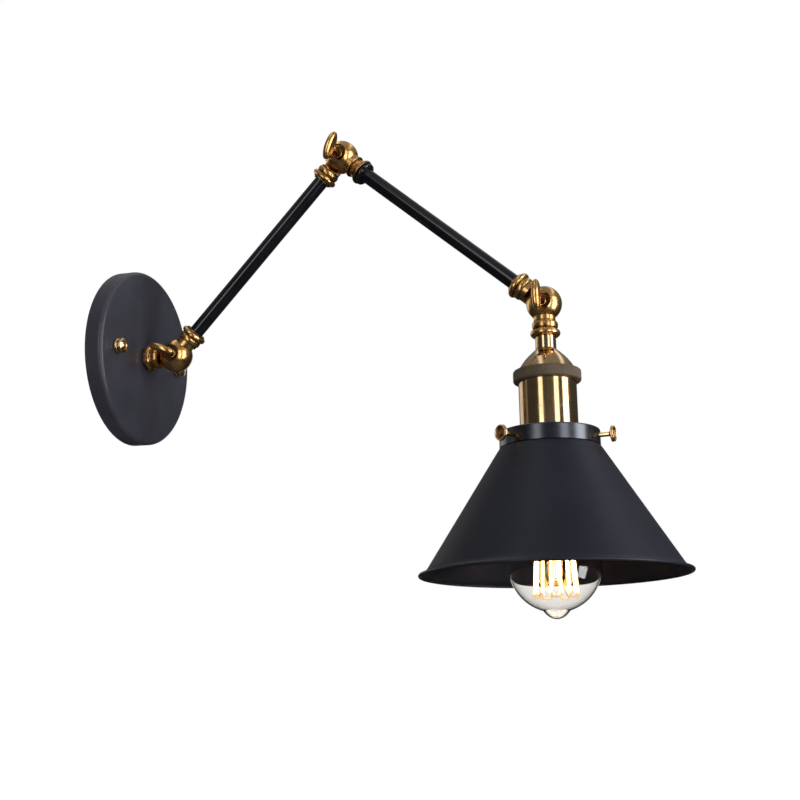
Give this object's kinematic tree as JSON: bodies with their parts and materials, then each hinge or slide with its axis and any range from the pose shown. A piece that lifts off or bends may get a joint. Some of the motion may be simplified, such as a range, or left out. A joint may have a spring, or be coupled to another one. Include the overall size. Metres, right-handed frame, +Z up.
{
  "type": "wall sconce",
  "caption": "Wall light with a round plate, folding tube arms on knuckle joints with wing screws, and a cone shade round a clear filament bulb.",
  "frame": {"origin": "centre of the crossbar's back face, on the wall plane", "axes": "+Z up, the lamp reaches out along -Y, +X to the right seen from in front"},
  "size_m": [0.185, 0.4267, 0.3634],
  "materials": {
    "plate_black": "satin powder coat",
    "tube_black": "gloss paint",
    "fitter_black": "satin paint",
    "shade_black": "matte powder coat",
    "antique_brass": "polished and darkened",
    "bright_brass": "polished",
    "aged_brass": "polished and aged",
    "plain_brass": "bare",
    "dark_bronze": "dark, matte",
    "zinc_steel": "zinc plated",
    "fibre": "fibre washer",
    "porcelain": "unglazed ceramic",
    "nickel": "nickel plated",
    "black_insulator": "vitrified",
    "clear_glass": "clear",
    "hook_wire": "bare wire",
    "glowing_filament": "glowing"
  },
  "bodies": {
    "wall_mount": {"wall_plate": "plate_black", "crossbar": "zinc_steel", "plate_studs": "zinc_steel", "cap_nuts": "bright_brass", "earth_screw": "zinc_steel", "wall_knuckle": "antique_brass", "plate_nipple": "plain_brass", "plate_washer": "zinc_steel", "plate_locknut": "plain_brass", "wall_friction_washer": "fibre", "wall_joint_nut": "plain_brass"},
    "lower_arm": {"lower_arm_knuckle": "antique_brass", "lower_tube": "tube_black", "lower_tube_washer": "tube_black", "elbow_lower_knuckle": "antique_brass", "elbow_friction_washer": "fibre", "elbow_joint_nut": "plain_brass"},
    "upper_arm": {"elbow_upper_knuckle": "antique_brass", "upper_tube_bead": "tube_black", "upper_tube": "tube_black", "upper_arm_knuckle": "antique_brass", "head_friction_washer": "fibre", "head_joint_nut": "plain_brass"},
    "lamp_head": {"head_knuckle": "antique_brass", "head_stem": "aged_brass", "head_nipple": "plain_brass", "head_locknut": "plain_brass", "socket_cap": "aged_brass", "knurled_ring": "dark_bronze", "socket_shell": "aged_brass", "lampholder_insert": "porcelain", "contact_shell": "plain_brass", "centre_contact": "plain_brass", "shade_fitter": "fitter_black", "clamp_ring": "porcelain", "shade": "shade_black"},
    "wall_wing": {"wall_wing_screw": "antique_brass"},
    "elbow_wing": {"elbow_wing_screw": "antique_brass"},
    "head_wing": {"head_wing_screw": "antique_brass"},
    "front_thumb": {"thumbscrew_front": "bright_brass"},
    "left_thumb": {"thumbscrew_left": "bright_brass"},
    "right_thumb": {"thumbscrew_right": "bright_brass"},
    "bulb": {"bulb_base": "nickel", "bulb_contact": "black_insulator", "bulb_glass": "clear_glass", "bulb_stem": "clear_glass", "filament_hooks": "hook_wire", "filament": "glowing_filament"}
  },
  "joints": [
    {"name": "wall_joint", "type": "hinge", "parent": "wall_mount", "child": "lower_arm", "pos_m": [0, -0.039, 0], "axis": [1, 0, 0], "range_deg": [-42.5, 137.5]},
    {"name": "elbow_joint", "type": "hinge", "parent": "lower_arm", "child": "upper_arm", "pos_m": [0, -0.17331, 0.14657], "axis": [-1, 0, 0], "range_deg": [-22.5, 197.5]},
    {"name": "head_joint", "type": "hinge", "parent": "upper_arm", "child": "lamp_head", "pos_m": [0, -0.32927, 0.0157], "axis": [1, 0, 0], "range_deg": [-158.5, 61.5]},
    {"name": "wall_wing_turn", "type": "hinge", "parent": "wall_mount", "child": "wall_wing", "pos_m": [0, -0.039, 0], "axis": [-1, 0, 0], "range_deg": [0, 180]},
    {"name": "elbow_wing_turn", "type": "hinge", "parent": "lower_arm", "child": "elbow_wing", "pos_m": [0, -0.17331, 0.14657], "axis": [-1, 0, 0], "range_deg": [0, 180]},
    {"name": "head_wing_turn", "type": "hinge", "parent": "upper_arm", "child": "head_wing", "pos_m": [0, -0.32927, 0.0157], "axis": [-1, 0, 0], "range_deg": [0, 180]},
    {"name": "front_thumb_turn", "type": "hinge", "parent": "lamp_head", "child": "front_thumb", "pos_m": [0, -0.33183, -0.08197], "axis": [-0.0698, -0.9972, 0.0261], "range_deg": [0, 270]},
    {"name": "left_thumb_turn", "type": "hinge", "parent": "lamp_head", "child": "left_thumb", "pos_m": [0, -0.33183, -0.08197], "axis": [-0.829, 0.559, -0.0146], "range_deg": [0, 270]},
    {"name": "right_thumb_turn", "type": "hinge", "parent": "lamp_head", "child": "right_thumb", "pos_m": [0, -0.33183, -0.08197], "axis": [0.8988, 0.4382, -0.0115], "range_deg": [0, 270]},
    {"name": "bulb_turn", "type": "hinge", "parent": "lamp_head", "child": "bulb", "pos_m": [0, -0.33183, -0.08197], "axis": [0, -0.0262, -0.9997], "range_deg": [0, 720]}
  ]
}
